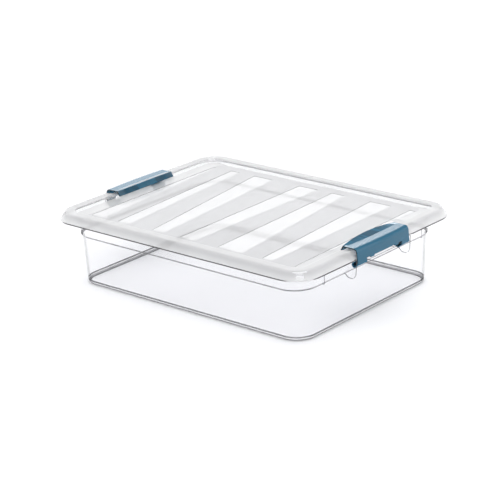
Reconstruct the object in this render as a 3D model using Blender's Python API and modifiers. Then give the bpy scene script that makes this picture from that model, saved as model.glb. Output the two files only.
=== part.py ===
"""Under bed storage box: a clear tub, a frosted lid with a sunk striped panel, and a clip at each end.

Metres, +Z up. The box stands on z = 0, centred on the origin, and X runs along it from clip to clip.
Plan sizes are measured in from the edge of the lid's skirt, and heights down from the top of its rim.
"""

import math
from typing import NamedTuple

import bmesh
import bpy

# The whole box, without the clips
BOX_LENGTH = 0.600
BOX_WIDTH = 0.4484
BOX_HEIGHT = 0.1402
HALF_LENGTH = BOX_LENGTH / 2
HALF_WIDTH = BOX_WIDTH / 2
CORNER_STEPS = 10

# Clearances between the mouldings
LID_REST_GAP = 0.0006
CLIP_END_GAP = 0.0022
EAR_TO_SKIRT_GAP = 0.0006
BAR_PLAY = 0.0006
SEAT_SIDE_GAP = 0.0012

# Lid
LID_WALL = 0.0020
LID_CORNER = 0.050
SKIRT_DEPTH = 0.0162
LIP_REACH = 0.0026
LIP_FALL = 0.0016
LIP_EDGE = 0.0016
SHOULDER_INSET = 0.0145
SHOULDER_RADIUS = 0.0070
SHOULDER_END_DEG = 60
SHOULDER_STEPS = 4
RIM_INSET = 0.0265
RIM_ROUND = 0.0013
RIM_ROUND_FALL = 0.0003
RIM_WALL_FALL = 0.0014
PANEL_DEPTH = 0.0096
PANEL_END_MARGIN = 0.054
PANEL_SIDE_MARGIN = 0.0322
PANEL_CORNER = 0.020
END_RAMP_RISE = 0.0016
END_RAMP_INSET = 0.0315
STRIPE_DEPTH = 0.0004
STRIPE_SIDE_MARGIN = 0.021
# Where each stripe starts and ends along the panel's back edge and then along its front edge,
# as shares of the panel's half length
STRIPES = (
    (-0.990, -0.972, -0.978, -0.850),
    (-0.807, -0.721, -0.706, -0.592),
    (-0.568, -0.380, -0.359, -0.243),
    (-0.110, 0.070, -0.080, 0.058),
    (0.211, 0.328, 0.282, 0.512),
    (0.575, 0.768, 0.692, 0.785),
    (0.940, 0.990, 0.985, 0.995),
)

# Tub
TUB_WALL = 0.0020
TUB_CORNER = 0.042
BAND_INSET = 0.0264
BAND_DEPTH = 0.0447
LEDGE_REACH = 0.0034
LEDGE_FALL = 0.0030
BODY_DRAFT = 0.0038
BAND_DRAFT = 0.0003
FOOT_RADIUS = 0.0052
FOOT_STEPS = 4
FLARE_REACH = 0.0060
FLARE_TOP_DEPTH = 0.0128
FLARE_BOTTOM_DEPTH = 0.0168
RIM_BEAD_REACH = 0.0016

# Clips
CLIP_LENGTH = 0.1476
CLIP_WALL = 0.0022
HOOK_LENGTH = 0.0238
SLOT_LENGTH = 0.0100
TAB_LENGTH = 0.0105
PIVOT_INSET = 0.0080
PIVOT_DEPTH = 0.0269
BAR_RADIUS = 0.0026
HOOK_RADIUS = BAR_RADIUS + BAR_PLAY + CLIP_WALL
HOOK_FROM_DEG = -60
HOOK_TO_DEG = -255
HOOK_STEPS = 8
CLIP_FACE_REACH = 0.0010
CLIP_BACK_LEAN = 0.0017
CLIP_SHOULDER_DEPTH = 0.0070
CLIP_SHOULDER_RADIUS = 0.0078
CLIP_SHOULDER_STEPS = 4
CLIP_TOP_RISE = 0.0029
CLIP_BEND_INSET = 0.0250
RIDGE_INSET = 0.0314
RIDGE_RISE = 0.0032
RIDGE_ARCH_REACH = 0.0066
RIDGE_ARCH_RISE = 0.0034
CLIP_CROWN = 0.0025
LIP_TIP_INSET = 0.0370
LIP_TIP_DEPTH = 0.0060
NOTCH_TOP_DEPTH = 0.0184
TAB_BOTTOM_DEPTH = 0.0208
CLIP_CHIN_DEPTH = 0.0260
# Levels down the clip's face, with the share of its lean that is gone at each
CLIP_FACE_LEVELS = ((0.5, NOTCH_TOP_DEPTH), (0.7, TAB_BOTTOM_DEPTH), (1.0, CLIP_CHIN_DEPTH))
ARCH_STATIONS = 3

# Seats that the clips close over, in the lid and in the tub's rim
SEAT_DROP = 0.0030
SEAT_EDGE_SHIFT = 0.0015
SEAT_INSET = 0.0036
SEAT_RAMP = 0.0100
SEAT_HALF = CLIP_LENGTH / 2 + SEAT_SIDE_GAP

# Ears, ribs and hinge bars of the tub
EAR_THICKNESS = 0.0026
EAR_TIP_INSET = -0.0004
EAR_BOTTOM_DEPTH = 0.0508
EAR_BOTTOM_NEAR = 0.0180
EAR_BOTTOM_FAR = 0.0060
EAR_TIP_DEPTH = 0.0430
EAR_TIP_TAPER = 0.0021
EAR_ROOT_RISE = 0.0015
WALL_RIB_OFFSET = 0.0640
WALL_RIB_REACH = 0.0060
WALL_RIB_THICKNESS = 0.0022
WALL_RIB_ROOT_RISE = 0.0008
BAR_RIB_THICKNESS = 0.0022
BAR_RIB_HEIGHT = 0.0072
ROOT_IN_WALL = 0.0010
BAR_SIDES = 20

# Plastics, as colour, roughness and how much light passes
LID_PLASTIC = ((0.86, 0.87, 0.87), 0.35, 0.6)
TUB_PLASTIC = ((0.95, 0.96, 0.97), 0.08, 0.95)
CLIP_PLASTIC = ((0.045, 0.165, 0.265), 0.22, 0.0)

# Levels that more than one moulding meets
SKIRT_BOTTOM_Z = BOX_HEIGHT - SKIRT_DEPTH
TUB_RIM_Z = BOX_HEIGHT - LID_WALL - LID_REST_GAP
PIVOT_X = HALF_LENGTH - PIVOT_INSET
PIVOT_Z = BOX_HEIGHT - PIVOT_DEPTH
EAR_Y = CLIP_LENGTH / 2 + CLIP_END_GAP + EAR_THICKNESS / 2
BAND_X = HALF_LENGTH - BAND_INSET
NOTCH_HALF = CLIP_LENGTH / 2 - HOOK_LENGTH


class Ring(NamedTuple):
    """One level of a shell: its insets from the lid's edge, corner radius, height and clip seats."""

    inset_x: float
    inset_y: float
    radius: float
    z: float
    seat_in: float = 0.0
    seat_drop: float = 0.0


def clear_scene():
    for thing in list(bpy.data.objects):
        bpy.data.objects.remove(thing, do_unlink=True)


def new_collection(name):
    collection = bpy.data.collections.new(name)
    bpy.context.scene.collection.children.link(collection)
    return collection


def plastic(name, colour, roughness, transmission):
    material = bpy.data.materials.new(name)
    material.use_nodes = True
    shader = material.node_tree.nodes["Principled BSDF"]
    shader.inputs["Base Color"].default_value = (*colour, 1.0)
    shader.inputs["Roughness"].default_value = roughness
    shader.inputs["Metallic"].default_value = 0.0
    shader.inputs["Transmission Weight"].default_value = transmission
    return material


def add_object(name, shape, collection, material=None):
    """Turns a finished bmesh into an object of its own."""
    mesh = bpy.data.meshes.new(name)
    shape.to_mesh(mesh)
    shape.free()
    thing = bpy.data.objects.new(name, mesh)
    collection.objects.link(thing)
    if material:
        mesh.materials.append(material)
    return thing


def add_solidify(thing, thickness):
    """Gives an open surface its wall, on the side away from its normals."""
    modifier = thing.modifiers.new("wall", "SOLIDIFY")
    modifier.thickness = thickness
    modifier.offset = -1.0
    modifier.use_even_offset = True
    modifier.use_quality_normals = True


def add_boolean(thing, operation, other):
    modifier = thing.modifiers.new(other.name, "BOOLEAN")
    modifier.operation = operation
    modifier.solver = "EXACT"
    modifier.object = other


def add_mirror(thing, across_x, across_y):
    modifier = thing.modifiers.new("mirror", "MIRROR")
    modifier.use_axis = (across_x, across_y, False)
    modifier.use_mirror_merge = False


def hide_cutter(thing):
    thing.hide_render = True
    thing.display_type = "WIRE"


def shade_smooth(thing, sharp_deg=32):
    thing.data.shade_smooth()
    thing.data.set_sharp_from_angle(angle=math.radians(sharp_deg))


def seat_points(ring, side):
    """The four points of a short side that shape its clip seat, in the order the outline meets them."""
    edge = HALF_LENGTH - ring.inset_x
    points = []
    for y in (-SEAT_HALF - SEAT_RAMP, -SEAT_HALF, SEAT_HALF, SEAT_HALF + SEAT_RAMP):
        in_seat = abs(y) <= SEAT_HALF
        x = edge - ring.seat_in if in_seat else edge
        z = ring.z - ring.seat_drop if in_seat else ring.z
        points.append((side * x, side * y, z))
    return points


def corner_points(ring, quadrant):
    """A quarter circle about the corner's centre, in plan."""
    sign_x = 1 if quadrant in (0, 3) else -1
    sign_y = 1 if quadrant in (0, 1) else -1
    centre_x = sign_x * (HALF_LENGTH - ring.inset_x - ring.radius)
    centre_y = sign_y * (HALF_WIDTH - ring.inset_y - ring.radius)
    points = []
    for step in range(CORNER_STEPS + 1):
        angle = math.pi / 2 * (quadrant + step / CORNER_STEPS)
        x = centre_x + ring.radius * math.cos(angle)
        y = centre_y + ring.radius * math.sin(angle)
        points.append((x, y, ring.z))
    return points


def outline(ring):
    """A rounded rectangle with its two clip seats, anticlockwise from above."""
    right = seat_points(ring, 1) + corner_points(ring, 0) + corner_points(ring, 1)
    left = seat_points(ring, -1) + corner_points(ring, 2) + corner_points(ring, 3)
    return right + left


def loft(rings, upward):
    """An open shell: the first ring is a flat panel, facing up or down, and the others draw its edge out."""
    shape = bmesh.new()
    inner = [shape.verts.new(point) for point in outline(rings[0])]
    shape.faces.new(inner if upward else inner[::-1])
    for ring in rings[1:]:
        outer = [shape.verts.new(point) for point in outline(ring)]
        for index in range(len(inner)):
            after = (index + 1) % len(inner)
            corners = (inner[index], outer[index], outer[after], inner[after])
            shape.faces.new(corners if upward else corners[::-1])
        inner = outer
    return shape


def prism(points, low, high, axis):
    """A flat outline drawn along an axis, from low to high."""
    shape = bmesh.new()
    if axis == "Z":
        base = [shape.verts.new((u, v, low)) for u, v in points]
        offset = (0.0, 0.0, high - low)
    else:
        base = [shape.verts.new((u, low, v)) for u, v in points]
        offset = (0.0, high - low, 0.0)
    shape.faces.new(base)
    drawn = bmesh.ops.extrude_face_region(shape, geom=list(shape.faces))
    moved = [part for part in drawn["geom"] if isinstance(part, bmesh.types.BMVert)]
    bmesh.ops.translate(shape, verts=moved, vec=offset)
    bmesh.ops.recalc_face_normals(shape, faces=shape.faces)
    return shape


def box(low, high):
    """A box between two opposite corners."""
    shape = bmesh.new()
    bmesh.ops.create_cube(shape, size=1.0)
    size = [b - a for a, b in zip(low, high)]
    middle = [(a + b) / 2 for a, b in zip(low, high)]
    bmesh.ops.scale(shape, verts=shape.verts, vec=size)
    bmesh.ops.translate(shape, verts=shape.verts, vec=middle)
    return shape


def rod_along_y(x, z, radius, half_length):
    shape = bmesh.new()
    bmesh.ops.create_cone(
        shape,
        cap_ends=True,
        segments=BAR_SIDES,
        radius1=radius,
        radius2=radius,
        depth=2 * half_length,
    )
    for vert in shape.verts:
        vert.co = (x + vert.co.x, vert.co.z, z - vert.co.y)
    return shape


def lid_rings():
    """The top side of the lid, from the sunk panel over the rim and down to the turned-out lip."""
    top = BOX_HEIGHT
    panel_z = top - PANEL_DEPTH
    wall_inset = RIM_INSET + RIM_ROUND + RIM_WALL_FALL
    wall_foot = wall_inset + RIM_WALL_FALL
    rings = [
        Ring(PANEL_END_MARGIN, PANEL_SIDE_MARGIN, PANEL_CORNER, panel_z),
        Ring(END_RAMP_INSET, wall_foot, LID_CORNER - wall_foot, panel_z + END_RAMP_RISE),
    ]
    for inset, fall in (
        (wall_inset, RIM_WALL_FALL),
        (RIM_INSET + RIM_ROUND, RIM_ROUND_FALL),
        (RIM_INSET, 0.0),
    ):
        rings.append(Ring(inset, inset, LID_CORNER - inset, top - fall, -SEAT_EDGE_SHIFT, SEAT_DROP))
    for step in range(SHOULDER_STEPS + 1):
        angle = math.radians(SHOULDER_END_DEG * step / SHOULDER_STEPS)
        inset = SHOULDER_INSET - SHOULDER_RADIUS * math.sin(angle)
        z = top - SHOULDER_RADIUS * (1 - math.cos(angle))
        rings.append(Ring(inset, inset, LID_CORNER - inset, z, SEAT_INSET, SEAT_DROP))
    edge_z = top - SKIRT_DEPTH
    for inset, z in (
        (LIP_REACH, edge_z + LIP_EDGE + LIP_FALL),
        (0.0, edge_z + LIP_EDGE),
        (0.0, edge_z),
    ):
        rings.append(Ring(inset, inset, LID_CORNER - inset, z, SEAT_INSET))
    return rings


def stripe_cutters(collection):
    """Shallow slanted bands sunk into the panel, as one object of separate prisms."""
    reach = HALF_LENGTH - PANEL_END_MARGIN
    half = HALF_WIDTH - PANEL_SIDE_MARGIN - STRIPE_SIDE_MARGIN
    panel_z = BOX_HEIGHT - PANEL_DEPTH
    shape = bmesh.new()
    for back_from, back_to, front_from, front_to in STRIPES:
        corners = (
            (front_from * reach, -half),
            (front_to * reach, -half),
            (back_to * reach, half),
            (back_from * reach, half),
        )
        stripe = prism(corners, panel_z - STRIPE_DEPTH, panel_z + PANEL_DEPTH, "Z")
        mesh = bpy.data.meshes.new("stripe")
        stripe.to_mesh(mesh)
        stripe.free()
        shape.from_mesh(mesh)
        bpy.data.meshes.remove(mesh)
    return add_object("stripe_cutter", shape, collection)


def make_lid(parts, cutters):
    material = plastic("lid_frosted_plastic", *LID_PLASTIC)
    lid = add_object("lid", loft(lid_rings(), upward=True), parts, material)
    add_solidify(lid, LID_WALL)
    stripes = stripe_cutters(cutters)
    hide_cutter(stripes)
    add_boolean(lid, "DIFFERENCE", stripes)
    shade_smooth(lid)
    return lid


def tub_rings():
    """The outer side of the tub, from its flat base up the drafted wall, over the ledge to the rim bead."""
    band = BAND_INSET
    body = band + BAND_DRAFT + LEDGE_REACH
    foot = body + BODY_DRAFT
    ledge_top = BOX_HEIGHT - BAND_DEPTH
    rings = []
    for step in range(FOOT_STEPS + 1):
        angle = math.pi / 2 * step / FOOT_STEPS
        inset = foot + FOOT_RADIUS * (1 - math.sin(angle))
        z = FOOT_RADIUS * (1 - math.cos(angle))
        rings.append(Ring(inset, inset, TUB_CORNER - inset + body, z))
    for inset, z in (
        (body, ledge_top - LEDGE_FALL),
        (band + BAND_DRAFT, ledge_top),
        (band, BOX_HEIGHT - FLARE_BOTTOM_DEPTH),
    ):
        rings.append(Ring(inset, inset, TUB_CORNER - inset + body, z))
    flare = band - FLARE_REACH
    bead = flare - RIM_BEAD_REACH
    bead_z = TUB_RIM_Z - TUB_WALL
    rings.append(Ring(flare, flare, LID_CORNER - flare, BOX_HEIGHT - FLARE_TOP_DEPTH))
    rings.append(Ring(flare, flare, LID_CORNER - flare, bead_z, 0.0, SEAT_DROP))
    rings.append(Ring(bead, bead, LID_CORNER - bead, bead_z, 0.0, SEAT_DROP))
    return rings


def ear_shape():
    """One plate that stands out from the end wall and carries the end of a hinge bar."""
    top = SKIRT_BOTTOM_Z - EAR_TO_SKIRT_GAP
    root = BAND_X - ROOT_IN_WALL
    tip = HALF_LENGTH - EAR_TIP_INSET
    bottom = BOX_HEIGHT - EAR_BOTTOM_DEPTH
    points = (
        (root, top),
        (tip, top),
        (tip - EAR_TIP_TAPER, BOX_HEIGHT - EAR_TIP_DEPTH),
        (HALF_LENGTH - EAR_BOTTOM_FAR, bottom + EAR_THICKNESS / 2),
        (HALF_LENGTH - EAR_BOTTOM_FAR - EAR_THICKNESS, bottom),
        (HALF_LENGTH - EAR_BOTTOM_NEAR, bottom),
        (root, BOX_HEIGHT - BAND_DEPTH + EAR_ROOT_RISE),
    )
    return prism(points, EAR_Y - EAR_THICKNESS / 2, EAR_Y + EAR_THICKNESS / 2, "Y")


def wall_rib_shape():
    """One short stiffening rib on the end wall, outside the ears."""
    middle = EAR_Y + WALL_RIB_OFFSET - EAR_THICKNESS / 2
    half = WALL_RIB_THICKNESS / 2
    bottom = BOX_HEIGHT - BAND_DEPTH + WALL_RIB_ROOT_RISE
    low = (BAND_X - ROOT_IN_WALL, middle - half, bottom)
    high = (BAND_X + WALL_RIB_REACH, middle + half, SKIRT_BOTTOM_Z - EAR_TO_SKIRT_GAP)
    return box(low, high)


def bar_rib_shape():
    """One small rib that holds the hinge bar up between its ends, where the clip has a slot."""
    middle = NOTCH_HALF - SLOT_LENGTH / 2
    low = (BAND_X - ROOT_IN_WALL, middle - BAR_RIB_THICKNESS / 2, PIVOT_Z - BAR_RIB_HEIGHT / 2)
    high = (PIVOT_X, middle + BAR_RIB_THICKNESS / 2, PIVOT_Z + BAR_RIB_HEIGHT / 2)
    return box(low, high)


def make_tub(parts, cutters):
    material = plastic("tub_clear_plastic", *TUB_PLASTIC)
    tub = add_object("tub", loft(tub_rings(), upward=False), parts, material)
    add_solidify(tub, TUB_WALL)
    four_fold = {"ear": ear_shape(), "wall_rib": wall_rib_shape(), "bar_rib": bar_rib_shape()}
    for name, shape in four_fold.items():
        piece = add_object(name, shape, cutters)
        add_mirror(piece, True, True)
        hide_cutter(piece)
        add_boolean(tub, "UNION", piece)
    bar = add_object("hinge_bar", rod_along_y(PIVOT_X, PIVOT_Z, BAR_RADIUS, EAR_Y), cutters)
    add_mirror(bar, True, False)
    hide_cutter(bar)
    add_boolean(tub, "UNION", bar)
    shade_smooth(tub)
    return tub


def clip_profile(arch):
    """The outer side of a clip's section as (x, z), from the lip over the top and down to the hook."""
    crown = CLIP_CROWN * arch
    top = BOX_HEIGHT + CLIP_TOP_RISE
    face = HALF_LENGTH + CLIP_FACE_REACH + crown
    back = face - CLIP_BACK_LEAN
    ridge_x = HALF_LENGTH - RIDGE_INSET - RIDGE_ARCH_REACH * arch
    ridge_z = BOX_HEIGHT + RIDGE_RISE + RIDGE_ARCH_RISE * arch
    points = [
        (HALF_LENGTH - LIP_TIP_INSET, BOX_HEIGHT - LIP_TIP_DEPTH),
        (ridge_x, ridge_z),
        (HALF_LENGTH - CLIP_BEND_INSET + crown, top),
    ]
    for step in range(CLIP_SHOULDER_STEPS + 1):
        angle = math.pi / 2 * step / CLIP_SHOULDER_STEPS
        x = back - CLIP_SHOULDER_RADIUS * (1 - math.sin(angle))
        z = top - CLIP_SHOULDER_RADIUS * (1 - math.cos(angle))
        points.append((x, z))
    for share, depth in CLIP_FACE_LEVELS:
        points.append((back + CLIP_BACK_LEAN * share, BOX_HEIGHT - depth))
    for step in range(HOOK_STEPS + 1):
        angle = math.radians(HOOK_FROM_DEG + (HOOK_TO_DEG - HOOK_FROM_DEG) * step / HOOK_STEPS)
        x = PIVOT_X + HOOK_RADIUS * math.cos(angle)
        z = PIVOT_Z + HOOK_RADIUS * math.sin(angle)
        points.append((x, z))
    return points


def clip_stations():
    """Places along a clip where its section is drawn: its ends, the notch, slots and tabs, and between."""
    half = CLIP_LENGTH / 2
    slot_end = NOTCH_HALF - SLOT_LENGTH
    marks = [0.0, slot_end - TAB_LENGTH, slot_end, NOTCH_HALF, half]
    stations = []
    for low, high in zip(marks, marks[1:]):
        stations += [low + (high - low) * step / ARCH_STATIONS for step in range(ARCH_STATIONS)]
    stations.append(half)
    return [-y for y in stations[:0:-1]] + stations


def in_notch(y, z):
    """Whether the clip's wall is cut away here: the notch above the hinge bar, but not its two tabs."""
    slot_end = NOTCH_HALF - SLOT_LENGTH
    in_tab = slot_end - TAB_LENGTH < abs(y) < slot_end
    depth = TAB_BOTTOM_DEPTH if in_tab else NOTCH_TOP_DEPTH
    return abs(y) < NOTCH_HALF and z < BOX_HEIGHT - depth


def clip_shape():
    """The outer side of a clip as an open sheet about its pivot: an arched strip bent over the rim and curled round."""
    half = CLIP_LENGTH / 2
    shape = bmesh.new()
    columns = []
    for y in clip_stations():
        profile = clip_profile(1 - (y / half) ** 2)
        columns.append([(x, y, z) for x, z in profile])
    grid = [[shape.verts.new(point) for point in column] for column in columns]
    for left, right in zip(grid, grid[1:]):
        for row in range(len(left) - 1):
            corners = (left[row], left[row + 1], right[row + 1], right[row])
            y = sum(corner.co.y for corner in corners) / len(corners)
            z = sum(corner.co.z for corner in corners) / len(corners)
            if not in_notch(y, z):
                shape.faces.new(corners)
    loose = [vert for vert in shape.verts if not vert.link_faces]
    bmesh.ops.delete(shape, geom=loose, context="VERTS")
    bmesh.ops.translate(shape, verts=shape.verts, vec=(-PIVOT_X, 0.0, -PIVOT_Z))
    return shape


def make_clips(parts):
    material = plastic("clip_petrol_blue_plastic", *CLIP_PLASTIC)
    right = add_object("clip_right", clip_shape(), parts, material)
    add_solidify(right, CLIP_WALL)
    shade_smooth(right)
    right.location = (PIVOT_X, 0.0, PIVOT_Z)
    left = right.copy()
    left.name = "clip_left"
    parts.objects.link(left)
    left.location = (-PIVOT_X, 0.0, PIVOT_Z)
    left.rotation_euler = (0.0, 0.0, math.pi)


def main():
    clear_scene()
    parts = new_collection("under_bed_box")
    cutters = new_collection("cutters")
    make_tub(parts, cutters)
    make_lid(parts, cutters)
    make_clips(parts)


main()
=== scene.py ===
import math

import bmesh
import bpy
from mathutils import Matrix, Vector


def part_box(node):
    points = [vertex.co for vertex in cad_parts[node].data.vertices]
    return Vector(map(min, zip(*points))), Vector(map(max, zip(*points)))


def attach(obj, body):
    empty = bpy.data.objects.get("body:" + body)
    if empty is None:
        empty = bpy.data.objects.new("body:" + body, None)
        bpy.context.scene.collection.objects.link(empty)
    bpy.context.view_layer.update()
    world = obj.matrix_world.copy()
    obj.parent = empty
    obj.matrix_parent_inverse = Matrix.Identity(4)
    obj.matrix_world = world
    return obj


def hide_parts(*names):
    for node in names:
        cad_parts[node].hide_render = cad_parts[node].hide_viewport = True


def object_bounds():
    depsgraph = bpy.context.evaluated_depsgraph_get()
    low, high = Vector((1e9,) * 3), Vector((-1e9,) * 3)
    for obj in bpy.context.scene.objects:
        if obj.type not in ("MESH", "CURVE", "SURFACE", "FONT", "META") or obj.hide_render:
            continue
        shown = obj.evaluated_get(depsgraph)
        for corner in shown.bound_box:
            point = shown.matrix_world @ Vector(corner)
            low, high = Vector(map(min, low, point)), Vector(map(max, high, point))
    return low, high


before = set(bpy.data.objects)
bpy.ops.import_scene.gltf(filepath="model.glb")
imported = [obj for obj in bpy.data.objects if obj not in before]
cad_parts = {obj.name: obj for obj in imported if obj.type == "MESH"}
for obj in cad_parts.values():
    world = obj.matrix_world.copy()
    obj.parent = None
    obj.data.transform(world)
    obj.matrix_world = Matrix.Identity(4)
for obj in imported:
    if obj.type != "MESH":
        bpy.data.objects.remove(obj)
cad_low, cad_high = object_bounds()

# The camera, as a direction from the box, a roll and a place
CAMERA_AZIMUTH = math.radians(41.52)
CAMERA_ELEVATION = math.radians(19.96)
CAMERA_ROLL = math.radians(-2.582)
CAMERA_PLACE = (2.1239, -2.4082, 1.2248)
CAMERA_LENS = 133.85
CAMERA_SENSOR = 36.0

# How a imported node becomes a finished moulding
MERGE_GAP = 0.00001
FLAT = math.radians(0.4)
SHARP = math.radians(34)
BEND_FROM = math.radians(4)
BEND_ROUND = 0.0006
CLIP_EDGE_ROUND = 0.0005
TUB_EDGE_ROUND = 0.00025
LID_EDGE_ROUND = 0.00012

# Levels and reaches of the lid, from its packed box
LID_LOW, LID_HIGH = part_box("lid")
LID_TOP = LID_HIGH.z
PANEL_FALL = 0.0096
BAND_FALL = 0.0100
PANEL_TOLERANCE = 0.00015
PANEL_UNDERSIDE_FALL = 0.0125
RECESS_FALL = 0.0070
PANEL_END = 0.2465
SHOULDER_IN = 0.0150
SHOULDER_FALL = 0.0007
LIP_HEIGHT = 0.0019
LIP_IN = 0.0014
LIP_SIDE_IN = 0.0020

# Levels and reaches of the tub
FOOT_LOWER = 0.0030
FOOT_LINE = 0.0052
FOOT_UPPER = 0.0076
LEDGE_FROM = 0.0910
LEDGE_TO = 0.0964
END_WALL = 0.2746
HINGE_REACH = 0.15
HINGE_X = 0.292
HINGE_Z = 0.1133
ROD_REACH = 0.0029
HOOK_TOP = 0.1195
ARCH_FROM = 0.2688
FLOOR_GAP = 0.0004

# How far a face's normal leans, as a share: towards Z for flat and steep faces, towards Y for ends and sides
BAR_END = 0.3
FOOT_STEEPEST, FOOT_FLATTEST = 0.02, 0.985
LEDGE_STEEPEST, LEDGE_FLATTEST = 0.005, 0.95
EAR_SIDE = 0.6
BORDER_FLATTEST = 0.8
LIP_STEEP = 0.5
RECESS_FLATTEST = 0.9
CLIP_END = 0.7

# How far an edge runs along Y to count as a bend of the clip
ALONG_THE_CLIP = 0.8

# The skirt, darker at its top and paler from here down: painted shade above and painted light below
SKIRT_DARK_FALL = 0.004
SKIRT_PALE_FALL = 0.015

# The studio: its floor, its lamps as (place, aim, size, watts) and its sweep of light
FLOOR_SIZE = 40.0
BACK_STRIP = ((-5.3, 6.0, 3.62), (0.0, 0.0, 0.12), (9.0, 0.24), 92.0)
RIGHT_WINDOW = ((2.6, 1.6, 1.7), (0.1, 0.0, 0.05), (2.0, 2.0), 13.0)
STUDIO_BASE = 0.48
SWEEP_LIGHT = 1.35
SWEEP_TOP = (0.37, 0.44)
OVERHEAD_LIGHT = 1.7
OVERHEAD_FROM = (0.66, 0.96)
SEEN_WHITE = 1.3


def pick(piece):
    """Leaves one object selected and active, out of edit mode."""
    if bpy.context.object and bpy.context.object.mode != "OBJECT":
        bpy.ops.object.mode_set(mode="OBJECT")
    bpy.ops.object.select_all(action="DESELECT")
    piece.select_set(True)
    bpy.context.view_layer.objects.active = piece


def merged_copy(node, name):
    """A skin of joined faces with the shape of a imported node."""
    piece = bpy.data.objects.new(name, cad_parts[node].data.copy())
    piece.data.name = name
    piece.data.materials.clear()
    bpy.context.scene.collection.objects.link(piece)
    pick(piece)
    bpy.ops.mesh.customdata_custom_splitnormals_clear()
    bpy.ops.object.mode_set(mode="EDIT")
    bpy.ops.mesh.select_all(action="SELECT")
    bpy.ops.mesh.remove_doubles(threshold=MERGE_GAP)
    bpy.ops.mesh.dissolve_limited(angle_limit=FLAT)
    bpy.ops.object.mode_set(mode="OBJECT")
    return piece


def cut_level(piece, level):
    """A level line cut all round a moulding, so that a band of it can have a finish of its own."""
    pick(piece)
    bpy.ops.object.mode_set(mode="EDIT")
    bpy.ops.mesh.select_all(action="SELECT")
    bpy.ops.mesh.bisect(plane_co=(0.0, 0.0, level), plane_no=(0.0, 0.0, 1.0))
    bpy.ops.object.mode_set(mode="OBJECT")


def round_bends(piece):
    """Rounds the shallow bends of a strip, so that the flats between them stay flat."""
    pick(piece)
    bpy.ops.object.mode_set(mode="EDIT")
    bpy.ops.mesh.select_all(action="DESELECT")
    bpy.ops.mesh.select_mode(type="EDGE")
    skin = bmesh.from_edit_mesh(piece.data)
    for edge in skin.edges:
        along = abs((edge.verts[0].co - edge.verts[1].co).normalized().y)
        if edge.is_manifold and BEND_FROM < edge.calc_face_angle() < SHARP and along > ALONG_THE_CLIP:
            edge.select_set(True)
    bmesh.update_edit_mesh(piece.data)
    bpy.ops.mesh.bevel(offset=BEND_ROUND, segments=2, affect="EDGES", clamp_overlap=True)
    bpy.ops.object.mode_set(mode="OBJECT")


def round_edges(piece, width, segments, edge_finish=-1):
    """Rounds the sharp edges of a moulding, gives them a finish of their own and keeps its flats flat."""
    pick(piece)
    bevel = piece.modifiers.new("edge_round", "BEVEL")
    bevel.width = width
    bevel.segments = segments
    bevel.limit_method = "ANGLE"
    bevel.angle_limit = SHARP
    bevel.use_clamp_overlap = True
    bevel.material = edge_finish
    bpy.ops.object.modifier_apply(modifier=bevel.name)
    bpy.ops.object.shade_smooth_by_angle(angle=SHARP)
    weighted = piece.modifiers.new("flat_faces", "WEIGHTED_NORMAL")
    weighted.keep_sharp = True
    bpy.ops.object.modifier_apply(modifier=weighted.name)


def give_finishes(piece, materials, choose):
    """Gives each face one of the materials, by its place, the way it looks and the one it has."""
    if not piece.data.materials:
        for material in materials:
            piece.data.materials.append(material)
    for face in piece.data.polygons:
        face.material_index = choose(face.center, face.normal, face.material_index)


def ramp(tree, value, stops):
    """A colour ramp from (place, brightness) stops."""
    node = tree.nodes.new("ShaderNodeValToRGB")
    points = node.color_ramp.elements
    while len(points) < len(stops):
        points.new(0.5)
    for point, (place, shade) in zip(points, stops):
        point.position = place
        point.color = (shade, shade, shade, 1.0)
    tree.links.new(value, node.inputs["Fac"])
    return node.outputs["Color"]


def maths(tree, operation, first, second):
    """One sum on two values, each a socket or a number."""
    node = tree.nodes.new("ShaderNodeMath")
    node.operation = operation
    for socket, value in zip(node.inputs, (first, second)):
        if isinstance(value, bpy.types.NodeSocket):
            tree.links.new(value, socket)
        else:
            socket.default_value = value
    return node.outputs["Value"]


def map_range(tree, value, low, high, to_low, to_high):
    """A smooth step from one range of values to another."""
    node = tree.nodes.new("ShaderNodeMapRange")
    node.interpolation_type = "SMOOTHSTEP"
    tree.links.new(value, node.inputs["Value"])
    for name, number in (("From Min", low), ("From Max", high), ("To Min", to_low), ("To Max", to_high)):
        node.inputs[name].default_value = number
    return node.outputs["Result"]


def new_group(name, numbers, results):
    """An empty node group with float inputs, and outputs given as (name, socket type)."""
    group = bpy.data.node_groups.new(name, "ShaderNodeTree")
    for title, value in numbers:
        socket = group.interface.new_socket(title, in_out="INPUT", socket_type="NodeSocketFloat")
        socket.default_value = value
    for title, kind in results:
        group.interface.new_socket(title, in_out="OUTPUT", socket_type=kind)
    return group, group.nodes.new("NodeGroupInput"), group.nodes.new("NodeGroupOutput")


def noise(tree, vector, scale, detail, distortion=0.0):
    """Soft noise, its scale a socket or a number."""
    node = tree.nodes.new("ShaderNodeTexNoise")
    node.inputs["Detail"].default_value = detail
    node.inputs["Distortion"].default_value = distortion
    if isinstance(scale, bpy.types.NodeSocket):
        tree.links.new(scale, node.inputs["Scale"])
    else:
        node.inputs["Scale"].default_value = scale
    tree.links.new(vector, node.inputs["Vector"])
    return node.outputs["Fac"]


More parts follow.
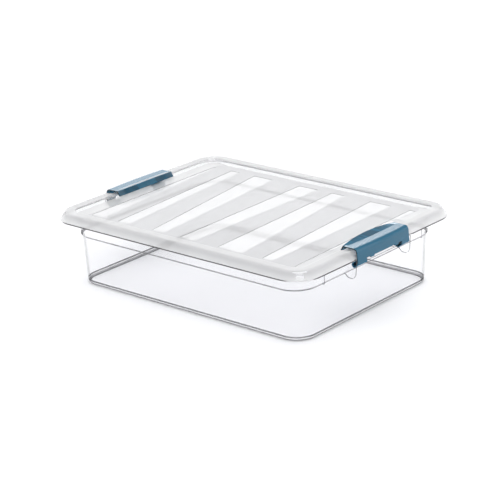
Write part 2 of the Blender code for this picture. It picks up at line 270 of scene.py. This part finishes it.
def make_moulded_surface():
    """Fine mould grain, slow flow marks and a few stretched scuffs, for every plastic of the box."""
    group, ins, outs = new_group(
        "moulded_surface",
        (("Grain Scale", 900.0), ("Flow Amount", 0.3), ("Scuff Amount", 0.3)),
        (("Height", "NodeSocketFloat"), ("Tone", "NodeSocketFloat"), ("Scuffs", "NodeSocketFloat")),
    )
    place = group.nodes.new("ShaderNodeTexCoord").outputs["Object"]
    grain = noise(group, place, ins.outputs["Grain Scale"], 3.0)
    flow = noise(group, place, 14.0, 2.0, 0.6)
    stretched = group.nodes.new("ShaderNodeMapping")
    stretched.inputs["Scale"].default_value = (30.0, 260.0, 90.0)
    stretched.inputs["Rotation"].default_value = (0.0, 0.0, 0.5)
    group.links.new(place, stretched.inputs["Vector"])
    streaks = noise(group, stretched.outputs["Vector"], 1.0, 4.0)
    patches = noise(group, place, 22.0, 1.0)
    scuffs = maths(group, "MULTIPLY", map_range(group, streaks, 0.60, 0.72, 0.0, 1.0),
                   map_range(group, patches, 0.50, 0.66, 0.0, 1.0))
    scuffs = maths(group, "MULTIPLY", scuffs, ins.outputs["Scuff Amount"])
    slow = maths(group, "MULTIPLY", maths(group, "SUBTRACT", flow, 0.5), ins.outputs["Flow Amount"])
    tone = maths(group, "ADD", 0.5, slow)
    height = maths(group, "ADD", maths(group, "MULTIPLY", grain, 0.5), maths(group, "MULTIPLY", scuffs, 0.5))
    group.links.new(height, outs.inputs["Height"])
    group.links.new(tone, outs.inputs["Tone"])
    group.links.new(scuffs, outs.inputs["Scuffs"])
    return group


class Finish:
    """A plastic's node tree: its shader, and the moulded surface that varies colour, roughness and bump."""

    def __init__(self, name, surface, grain_scale, flow, scuffs):
        self.material = bpy.data.materials.new(name)
        self.material.use_nodes = True
        self.tree = self.material.node_tree
        self.shader = self.tree.nodes["Principled BSDF"]
        self.output = self.tree.nodes["Material Output"]
        self.surface = self.tree.nodes.new("ShaderNodeGroup")
        self.surface.node_tree = surface
        self.surface.inputs["Grain Scale"].default_value = grain_scale
        self.surface.inputs["Flow Amount"].default_value = flow
        self.surface.inputs["Scuff Amount"].default_value = scuffs

    def colour(self, low, high):
        mix = self.tree.nodes.new("ShaderNodeMix")
        mix.data_type = "RGBA"
        mix.inputs["A"].default_value = (*low, 1.0)
        mix.inputs["B"].default_value = (*high, 1.0)
        self.tree.links.new(self.surface.outputs["Tone"], mix.inputs["Factor"])
        self.tree.links.new(mix.outputs["Result"], self.shader.inputs["Base Color"])

    def colour_by_height(self, upper, lower, top, bottom):
        """Paler towards the lower edge: painted light, for the light that comes in through the wall."""
        tree = self.tree
        place = tree.nodes.new("ShaderNodeTexCoord").outputs["Object"]
        parts = tree.nodes.new("ShaderNodeSeparateXYZ")
        tree.links.new(place, parts.inputs["Vector"])
        low = map_range(tree, parts.outputs["Z"], bottom, top, 1.0, 0.0)
        slow = maths(tree, "MULTIPLY", maths(tree, "SUBTRACT", self.surface.outputs["Tone"], 0.5), 0.4)
        mix = tree.nodes.new("ShaderNodeMix")
        mix.data_type = "RGBA"
        mix.inputs["A"].default_value = (*upper, 1.0)
        mix.inputs["B"].default_value = (*lower, 1.0)
        tree.links.new(maths(tree, "ADD", low, slow), mix.inputs["Factor"])
        tree.links.new(mix.outputs["Result"], self.shader.inputs["Base Color"])

    def roughness(self, base, flow, scuffed):
        slow = maths(self.tree, "MULTIPLY", self.surface.outputs["Tone"], flow)
        scuffs = maths(self.tree, "MULTIPLY", self.surface.outputs["Scuffs"], scuffed)
        total = maths(self.tree, "ADD", maths(self.tree, "ADD", base, slow), scuffs)
        self.tree.links.new(total, self.shader.inputs["Roughness"])

    def bump(self, strength, distance):
        bump = self.tree.nodes.new("ShaderNodeBump")
        bump.inputs["Strength"].default_value = strength
        bump.inputs["Distance"].default_value = distance
        self.tree.links.new(self.surface.outputs["Height"], bump.inputs["Height"])
        self.tree.links.new(bump.outputs["Normal"], self.shader.inputs["Normal"])

    def see_through(self, stops, tint, shadow_share, shadow_least=0.0):
        """Lets what is behind show, less so where the wall is seen edge on. Lamps have their own measure."""
        tree = self.tree
        facing = tree.nodes.new("ShaderNodeLayerWeight")
        facing.inputs["Blend"].default_value = 0.5
        solid = ramp(tree, facing.outputs["Facing"], stops)
        path = tree.nodes.new("ShaderNodeLightPath")
        lit = maths(tree, "MAXIMUM", path.outputs["Is Shadow Ray"], path.outputs["Is Diffuse Ray"])
        keep = maths(tree, "SUBTRACT", 1.0, maths(tree, "MULTIPLY", lit, 1.0 - shadow_share))
        shown = maths(tree, "MULTIPLY", solid, keep)
        least = maths(tree, "MULTIPLY", lit, shadow_least)
        clear = tree.nodes.new("ShaderNodeBsdfTransparent")
        clear.inputs["Color"].default_value = (*tint, 1.0)
        mix = tree.nodes.new("ShaderNodeMixShader")
        tree.links.new(maths(tree, "MAXIMUM", shown, least), mix.inputs["Fac"])
        tree.links.new(clear.outputs["BSDF"], mix.inputs[1])
        tree.links.new(self.shader.outputs["BSDF"], mix.inputs[2])
        tree.links.new(mix.outputs["Shader"], self.output.inputs["Surface"])


def make_finishes():
    """The plastics of the box, by name."""
    surface = make_moulded_surface()
    finishes = {}

    clear = Finish("clear_polypropylene", surface, 420.0, 0.5, 0.25)
    # The dark colour shows where the wall is seen edge on: painted shade, for the light the clear wall bends
    # away there.
    clear.colour((0.10, 0.10, 0.105), (0.15, 0.15, 0.155))
    clear.roughness(0.06, 0.05, 0.25)
    clear.bump(0.04, 0.0004)
    clear_stops = ((0.0, 0.004), (0.50, 0.008), (0.72, 0.06), (0.88, 0.42), (1.0, 0.9))
    clear.see_through(clear_stops, (0.993, 0.993, 0.995), 0.15)
    finishes["clear"] = clear.material

    foot = Finish("clear_polypropylene_foot_painted_highlight", surface, 420.0, 0.5, 0.25)
    # Pale colour on the rounded foot: a painted highlight, for the bright band a clear foot shows.
    foot.colour((0.86, 0.86, 0.87), (0.93, 0.93, 0.94))
    foot.roughness(0.06, 0.05, 0.25)
    foot.bump(0.04, 0.0004)
    foot.see_through(((0.0, 0.30), (0.80, 0.55), (1.0, 0.8)), (0.99, 0.99, 0.995), 1.0, 0.6)
    finishes["clear_foot_painted_highlight"] = foot.material

    edge = Finish("clear_polypropylene_edge_painted_shade", surface, 420.0, 0.5, 0.25)
    # Near black on the tub's edges and tight curves: painted shade, for the light a clear edge bends away.
    edge.colour((0.050, 0.050, 0.056), (0.075, 0.075, 0.082))
    edge.roughness(0.10, 0.05, 0.25)
    edge.shader.inputs["Specular IOR Level"].default_value = 0.12
    edge.bump(0.04, 0.0004)
    edge.see_through(((0.0, 0.42), (0.50, 0.66), (0.72, 0.92), (1.0, 0.97)), (0.97, 0.97, 0.98), 1.0, 0.5)
    finishes["clear_edge_painted_shade"] = edge.material

    rod = Finish("clear_polypropylene_rod_painted_shade", surface, 420.0, 0.5, 0.25)
    # Dark colour on the hinge bars, seen edge on: painted shade.
    rod.colour((0.06, 0.06, 0.065), (0.09, 0.09, 0.095))
    rod.roughness(0.08, 0.05, 0.25)
    rod.bump(0.04, 0.0004)
    rod.see_through(((0.0, 0.05), (0.40, 0.08), (0.62, 0.60), (1.0, 0.95)), (0.985, 0.985, 0.99), 0.5)
    finishes["clear_rod_painted_shade"] = rod.material

    frosted = Finish("frosted_lid_panel", surface, 1400.0, 0.35, 0.2)
    frosted.colour((0.505, 0.505, 0.505), (0.565, 0.565, 0.565))
    frosted.roughness(0.50, 0.10, 0.10)
    frosted.bump(0.20, 0.0003)
    frosted.see_through(((0.0, 0.45), (0.8, 0.52), (1.0, 0.8)), (0.98, 0.98, 0.985), 0.12)
    finishes["frosted"] = frosted.material

    band = Finish("polished_lid_band", surface, 500.0, 0.35, 0.2)
    # Lighter than the frosted panel: a painted reflection of the bright sweep behind, on top of the real one
    # from its low roughness.
    band.colour((0.65, 0.65, 0.65), (0.71, 0.71, 0.71))
    band.roughness(0.12, 0.06, 0.2)
    band.bump(0.03, 0.0003)
    band.see_through(((0.0, 0.45), (0.8, 0.52), (1.0, 0.8)), (0.99, 0.99, 0.99), 0.12)
    finishes["band"] = band.material

    rim = Finish("milky_lid_rim", surface, 700.0, 0.4, 0.3)
    rim.colour((0.60, 0.60, 0.60), (0.66, 0.66, 0.66))
    rim.roughness(0.40, 0.08, 0.2)
    rim.bump(0.05, 0.0004)
    rim.see_through(((0.0, 0.42), (0.7, 0.50), (0.93, 0.60), (1.0, 0.75)), (0.985, 0.985, 0.985), 0.3)
    finishes["rim"] = rim.material

    recess = Finish("milky_lid_recess", surface, 700.0, 0.4, 0.3)
    recess.colour((0.78, 0.78, 0.78), (0.84, 0.84, 0.84))
    recess.roughness(0.40, 0.08, 0.2)
    recess.bump(0.05, 0.0004)
    recess.see_through(((0.0, 0.16), (0.7, 0.22), (1.0, 0.5)), (0.985, 0.985, 0.985), 0.3)
    finishes["recess"] = recess.material

    skirt = Finish("milky_lid_skirt", surface, 700.0, 0.4, 0.3)
    skirt_span = (LID_TOP - SKIRT_DARK_FALL, LID_TOP - SKIRT_PALE_FALL)
    # Painted shade at the top of the skirt and painted light lower down, by height.
    skirt.colour_by_height((0.57, 0.57, 0.57), (0.74, 0.74, 0.74), *skirt_span)
    skirt.roughness(0.42, 0.08, 0.2)
    skirt.bump(0.05, 0.0004)
    skirt.see_through(((0.0, 0.45), (0.7, 0.55), (0.93, 0.75), (1.0, 0.95)), (0.985, 0.985, 0.985), 0.3)
    finishes["skirt"] = skirt.material

    lip = Finish("milky_lid_edge_painted_shade", surface, 700.0, 0.4, 0.3)
    # Near black on the cut edge and the bands' borders: painted shade, for the dark line these edges show.
    lip.colour((0.045, 0.045, 0.045), (0.065, 0.065, 0.065))
    lip.roughness(0.35, 0.08, 0.2)
    lip.shader.inputs["Specular IOR Level"].default_value = 0.12
    lip.bump(0.05, 0.0004)
    lip.see_through(((0.0, 0.95), (1.0, 0.98)), (0.97, 0.97, 0.97), 0.3)
    finishes["lip"] = lip.material

    clip = Finish("petrol_blue_clip", surface, 1100.0, 0.5, 0.35)
    clip.colour((0.010, 0.104, 0.180), (0.016, 0.138, 0.236))
    clip.roughness(0.10, 0.06, 0.25)
    clip.bump(0.04, 0.0003)
    finishes["clip"] = clip.material

    arch = Finish("petrol_blue_clip_arch", surface, 1100.0, 0.5, 0.35)
    # Darker than the clip's faces: painted shade, for the dark the arch reflects.
    arch.colour((0.006, 0.062, 0.112), (0.010, 0.084, 0.148))
    arch.roughness(0.16, 0.06, 0.25)
    arch.bump(0.04, 0.0003)
    finishes["clip_arch"] = arch.material

    clip_edge = Finish("petrol_blue_clip_edge", surface, 1100.0, 0.5, 0.35)
    # Near black on the cut ends and rounded edges: painted shade.
    clip_edge.colour((0.004, 0.022, 0.036), (0.007, 0.034, 0.052))
    clip_edge.roughness(0.16, 0.06, 0.25)
    clip_edge.bump(0.04, 0.0003)
    finishes["clip_edge"] = clip_edge.material
    return finishes


def tub_finish(place, way, given):
    """0 clear wall, with painted shade where seen edge on, 1 edges and tight curves, painted dark as shade,
    2 the rounded foot, painted pale as a highlight, 3 the hinge bars, painted dark as shade.
    """
    outer = way.z < 0
    if math.hypot(abs(place.x) - HINGE_X, place.z - HINGE_Z) < ROD_REACH and abs(way.y) < BAR_END:
        return 3
    if place.z < FOOT_UPPER and FOOT_STEEPEST < abs(way.z) < FOOT_FLATTEST:
        if place.z > FOOT_LINE:
            return 1
        if not outer:
            return 0
        return 1 if place.z < FOOT_LOWER else 2
    if LEDGE_FROM < place.z < LEDGE_TO and LEDGE_STEEPEST < abs(way.z) < LEDGE_FLATTEST:
        return 1 if outer else 0
    on_end = abs(place.x) > END_WALL and abs(place.y) < HINGE_REACH and place.z < LID_LOW.z
    if on_end and abs(way.y) < EAR_SIDE:
        return 1
    return 0


def finish_tub(finishes):
    """The clear tub, with bands of its own for the ledge and the foot, which carry painted shade and a
    painted highlight.
    """
    tub = merged_copy("tub", "clear_tub")
    cut_level(tub, FOOT_UPPER)
    cut_level(tub, LEDGE_TO)
    round_edges(tub, TUB_EDGE_ROUND, 2)
    plastics = [finishes[name] for name in ("clear", "clear_edge_painted_shade", "clear_foot_painted_highlight", "clear_rod_painted_shade")]
    give_finishes(tub, plastics, tub_finish)
    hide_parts("tub")
    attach(tub, "tub")


def lid_finish(place, way, given):
    """0 rim, 1 frosted panel, 2 polished band with a painted reflection, 3 skirt with painted shade, 4 cut
    edge and the bands' borders, painted dark as shade, 5 recess wall.
    """
    fall = LID_TOP - place.z
    if PANEL_FALL < fall < BAND_FALL and abs(way.z) < BORDER_FLATTEST and abs(place.x) < PANEL_END:
        return 4
    from_edge = min(LID_HIGH.x - abs(place.x), LID_HIGH.y - abs(place.y))
    lip_in = LIP_IN + (LIP_SIDE_IN if abs(way.z) < LIP_STEEP else 0.0)
    if place.z < LID_LOW.z + LIP_HEIGHT and from_edge < lip_in:
        return 4
    if from_edge < SHOULDER_IN and fall > SHOULDER_FALL:
        return 3
    if abs(way.z) < RECESS_FLATTEST and fall > SHOULDER_FALL:
        return 5
    if abs(place.x) > PANEL_END:
        return 0
    if abs(fall - BAND_FALL) < PANEL_TOLERANCE:
        return 2
    return 1 if RECESS_FALL < fall < PANEL_UNDERSIDE_FALL else 0


def finish_lid(finishes):
    """The milky lid, with its cut edge as a band of its own, painted dark as shade."""
    lid = merged_copy("lid", "frosted_lid")
    cut_level(lid, LID_LOW.z + LIP_HEIGHT)
    round_edges(lid, LID_EDGE_ROUND, 1)
    plastics = [finishes[name] for name in ("rim", "frosted", "band", "skirt", "lip", "recess")]
    give_finishes(lid, plastics, lid_finish)
    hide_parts("lid")
    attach(lid, "lid")


def clip_finish(place, way, given):
    """0 the faces and the hooks, 1 the cut ends above the hooks and the rounded edges, painted dark as
    shade, 2 the arch behind, painted darker as shade.
    """
    if place.z < HOOK_TOP:
        return 0
    if abs(way.y) > CLIP_END or given:
        return 1
    return 2 if abs(place.x) < ARCH_FROM and way.z > 0 else 0


def finish_clip(side, finishes):
    """One blue clip, its bends rounded and its edges darker by painted shade."""
    clip = merged_copy(f"clip_{side}", f"blue_clip_{side}")
    plastics = (finishes["clip"], finishes["clip_edge"], finishes["clip_arch"])
    for plastic in plastics:
        clip.data.materials.append(plastic)
    round_bends(clip)
    round_edges(clip, CLIP_EDGE_ROUND, 3, edge_finish=1)
    give_finishes(clip, plastics, clip_finish)
    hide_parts(f"clip_{side}")
    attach(clip, f"clip_{side}")


def make_floor():
    """The studio floor, a hair under the box, so that the two never share a plane."""
    bpy.ops.object.select_all(action="DESELECT")
    bpy.ops.mesh.primitive_plane_add(size=FLOOR_SIZE, location=(0.0, 0.0, cad_low.z - FLOOR_GAP))
    floor = bpy.context.object
    floor.name = "studio_floor"
    material = bpy.data.materials.new("studio_floor_white")
    material.use_nodes = True
    shader = material.node_tree.nodes["Principled BSDF"]
    shader.inputs["Base Color"].default_value = (0.93, 0.93, 0.94, 1.0)
    shader.inputs["Roughness"].default_value = 0.9
    shader.inputs["Specular IOR Level"].default_value = 0.0
    floor.data.materials.append(material)


def add_softbox(name, place, aim, size, power):
    """A rectangular lamp at a place, turned to face a point."""
    lamp = bpy.data.lights.new(name, "AREA")
    lamp.shape = "RECTANGLE"
    lamp.size, lamp.size_y = size
    lamp.energy = power
    thing = bpy.data.objects.new(name, lamp)
    bpy.context.scene.collection.objects.link(thing)
    thing.location = place
    way = Vector(aim) - Vector(place)
    thing.rotation_euler = way.to_track_quat("-Z", "Y").to_euler()


def make_world():
    """A white studio: bright overhead, a bright sweep behind the box and dimmer towards the front."""
    world = bpy.data.worlds.new("studio_world")
    bpy.context.scene.world = world
    world.use_nodes = True
    tree = world.node_tree
    tree.nodes.clear()
    way = tree.nodes.new("ShaderNodeTexCoord").outputs["Generated"]
    parts = tree.nodes.new("ShaderNodeSeparateXYZ")
    tree.links.new(way, parts.inputs["Vector"])
    behind = tree.nodes.new("ShaderNodeVectorMath")
    behind.operation = "DOT_PRODUCT"
    behind.inputs[1].default_value = (-math.sin(CAMERA_AZIMUTH), math.cos(CAMERA_AZIMUTH), 0.0)
    tree.links.new(way, behind.inputs[0])
    back = map_range(tree, behind.outputs["Value"], -0.1, 0.6, 0.0, 1.0)
    low = map_range(tree, parts.outputs["Z"], *SWEEP_TOP, 1.0, 0.0)
    sweep = maths(tree, "MULTIPLY", maths(tree, "MULTIPLY", back, low), SWEEP_LIGHT)
    top = map_range(tree, parts.outputs["Z"], *OVERHEAD_FROM, 0.0, OVERHEAD_LIGHT)
    level = maths(tree, "ADD", maths(tree, "ADD", STUDIO_BASE, top), sweep)
    studio = tree.nodes.new("ShaderNodeBackground")
    studio.inputs["Color"].default_value = (0.985, 0.99, 1.0, 1.0)
    tree.links.new(level, studio.inputs["Strength"])
    white = tree.nodes.new("ShaderNodeBackground")
    white.inputs["Color"].default_value = (1.0, 1.0, 1.0, 1.0)
    white.inputs["Strength"].default_value = SEEN_WHITE
    path = tree.nodes.new("ShaderNodeLightPath")
    mix = tree.nodes.new("ShaderNodeMixShader")
    tree.links.new(path.outputs["Is Camera Ray"], mix.inputs["Fac"])
    tree.links.new(studio.outputs["Background"], mix.inputs[1])
    tree.links.new(white.outputs["Background"], mix.inputs[2])
    output = tree.nodes.new("ShaderNodeOutputWorld")
    tree.links.new(mix.outputs["Shader"], output.inputs["Surface"])


def make_camera():
    """The view of the box from its front right, a little above."""
    azimuth, elevation = CAMERA_AZIMUTH, CAMERA_ELEVATION
    back = Vector((math.sin(azimuth) * math.cos(elevation), -math.cos(azimuth) * math.cos(elevation),
                   math.sin(elevation)))
    right = (-back).cross(Vector((0.0, 0.0, 1.0))).normalized()
    up = right.cross(-back)
    turned_right = right * math.cos(CAMERA_ROLL) + up * math.sin(CAMERA_ROLL)
    turned_up = up * math.cos(CAMERA_ROLL) - right * math.sin(CAMERA_ROLL)
    data = bpy.data.cameras.new("studio_camera")
    data.lens = CAMERA_LENS
    data.sensor_width = CAMERA_SENSOR
    camera = bpy.data.objects.new("studio_camera", data)
    bpy.context.scene.collection.objects.link(camera)
    place = Matrix((turned_right, turned_up, back)).transposed().to_4x4()
    place.translation = Vector(CAMERA_PLACE)
    camera.matrix_world = place
    bpy.context.scene.camera = camera


def set_light_handling():
    """Enough bounces for light through two clear walls and the lid, and colours as they are."""
    scene = bpy.context.scene
    scene.view_settings.view_transform = "Standard"
    scene.view_settings.look = "None"
    scene.cycles.max_bounces = 16
    scene.cycles.transparent_max_bounces = 48
    scene.cycles.caustics_reflective = False
    scene.cycles.caustics_refractive = False


finishes = make_finishes()
finish_tub(finishes)
finish_lid(finishes)
finish_clip("right", finishes)
finish_clip("left", finishes)
make_floor()
make_world()
add_softbox("back_strip", *BACK_STRIP)
add_softbox("right_window", *RIGHT_WINDOW)
make_camera()
set_light_handling()
